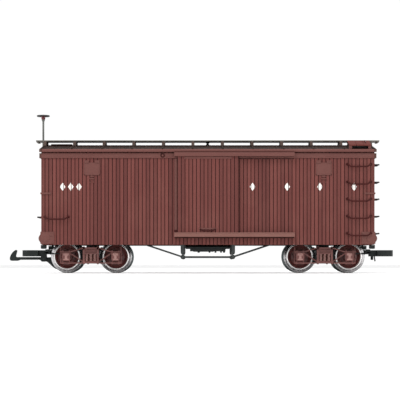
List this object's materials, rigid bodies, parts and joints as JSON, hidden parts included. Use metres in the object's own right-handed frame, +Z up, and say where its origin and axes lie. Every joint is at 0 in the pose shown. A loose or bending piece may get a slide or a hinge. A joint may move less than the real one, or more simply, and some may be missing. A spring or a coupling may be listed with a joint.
{
  "type": "model box car",
  "caption": "Garden-scale model of a wooden railway box car with sliding doors, roofwalk, hand brake, truss rods, loop couplers and swivelling arch-bar bogies.",
  "frame": {"origin": "middle of the overall box in plan, at the lowest point of the wheel flanges", "axes": "+X along the car from the hooked end to the other end, +Y across the car towards the far side, +Z up"},
  "size_m": [0.415, 0.124, 0.173],
  "materials": {
    "body_brown": "moulded red-brown plastic with fine board grain, matt",
    "roof_brown": "dark brown-black painted roof, matt",
    "walk_grey": "weathered grey planks, matt",
    "frame_brown": "brown plastic, slightly satin",
    "underframe_black": "black plastic with a faint green cast, satin",
    "tyre_steel": "bright turned steel",
    "zinc": "plated steel",
    "brake_red": "dark red and black plastic"
  },
  "bodies": {
    "car_body": {"truss_rod_near": "underframe_black", "truss_rod_far": "underframe_black", "queen_posts_right": "underframe_black", "queen_posts_left": "underframe_black", "floor_pan": "underframe_black", "brake_gear": "underframe_black", "end_beam_right": "underframe_black", "end_beam_left": "underframe_black", "ballast_plate": "zinc", "pivot_screw_left": "zinc", "pivot_screw_right": "zinc", "cargo_floor": "body_brown", "side_wall_near": "body_brown", "side_wall_far": "body_brown", "end_wall_right": "body_brown", "end_wall_left": "body_brown", "letterboard": "body_brown", "platform_near": "body_brown", "platform_far": "body_brown", "upper_track_near": "body_brown", "upper_track_far": "body_brown", "lower_track_near": "body_brown", "lower_track_far": "body_brown", "side_ladder_near": "body_brown", "side_ladder_far": "body_brown", "side_grab_near": "body_brown", "side_grab_far": "body_brown", "roof": "roof_brown", "end_ladder_right": "roof_brown", "end_ladder_left": "roof_brown", "end_grab_right": "roof_brown", "end_grab_left": "roof_brown", "roofwalk": "walk_grey"},
    "door_near": {"door_near": "body_brown"},
    "door_far": {"door_far": "body_brown"},
    "brake_spindle": {"brake_wheel": "brake_red", "brake_staff": "walk_grey"},
    "bogie_left": {"bolster_left": "underframe_black", "side_frame_left_near": "frame_brown", "side_frame_left_far": "frame_brown", "coupler_left": "underframe_black", "hook_pin": "zinc"},
    "wheelset_left_inner": {"axle_left_inner": "frame_brown", "tyre_left_inner_near": "tyre_steel", "tyre_left_inner_far": "tyre_steel"},
    "wheelset_left_outer": {"axle_left_outer": "frame_brown", "tyre_left_outer_near": "tyre_steel", "tyre_left_outer_far": "tyre_steel"},
    "bogie_right": {"bolster_right": "underframe_black", "side_frame_right_near": "frame_brown", "side_frame_right_far": "frame_brown", "coupler_right": "underframe_black"},
    "wheelset_right_inner": {"axle_right_inner": "frame_brown", "tyre_right_inner_near": "tyre_steel", "tyre_right_inner_far": "tyre_steel"},
    "wheelset_right_outer": {"axle_right_outer": "frame_brown", "tyre_right_outer_near": "tyre_steel", "tyre_right_outer_far": "tyre_steel"},
    "hook": {"coupler_hook": "underframe_black"}
  },
  "joints": [
    {"name": "bogie_left_swivel", "type": "hinge", "parent": "car_body", "child": "bogie_left", "pos_m": [-0.1176, 0, 0.021], "axis": [0, 0, 1], "range_deg": [-12, 12]},
    {"name": "bogie_right_swivel", "type": "hinge", "parent": "car_body", "child": "bogie_right", "pos_m": [0.1312, 0, 0.021], "axis": [0, 0, 1], "range_deg": [-12, 12]},
    {"name": "wheels_left_inner_spin", "type": "hinge", "parent": "bogie_left", "child": "wheelset_left_inner", "pos_m": [-0.0914, 0, 0.0175], "axis": [0, 1, 0], "continuous": true},
    {"name": "wheels_left_outer_spin", "type": "hinge", "parent": "bogie_left", "child": "wheelset_left_outer", "pos_m": [-0.1438, 0, 0.0175], "axis": [0, 1, 0], "continuous": true},
    {"name": "wheels_right_inner_spin", "type": "hinge", "parent": "bogie_right", "child": "wheelset_right_inner", "pos_m": [0.105, 0, 0.0175], "axis": [0, 1, 0], "continuous": true},
    {"name": "wheels_right_outer_spin", "type": "hinge", "parent": "bogie_right", "child": "wheelset_right_outer", "pos_m": [0.1574, 0, 0.0175], "axis": [0, 1, 0], "continuous": true},
    {"name": "door_near_slide", "type": "slide", "parent": "car_body", "child": "door_near", "axis": [1, 0, 0], "range_m": [0, 0.058]},
    {"name": "door_far_slide", "type": "slide", "parent": "car_body", "child": "door_far", "axis": [-1, 0, 0], "range_m": [0, 0.058]},
    {"name": "brake_wheel_turn", "type": "hinge", "parent": "car_body", "child": "brake_spindle", "pos_m": [-0.1728, 0.018, 0.12], "axis": [0, 0, 1], "continuous": true},
    {"name": "hook_tilt", "type": "hinge", "parent": "bogie_left", "child": "hook", "pos_m": [-0.1706, 0, 0.0149], "axis": [0, -1, 0], "range_deg": [0, 12], "stiffness_Nm_per_rad": 0.005, "springref_deg": -5.73}
  ]
}
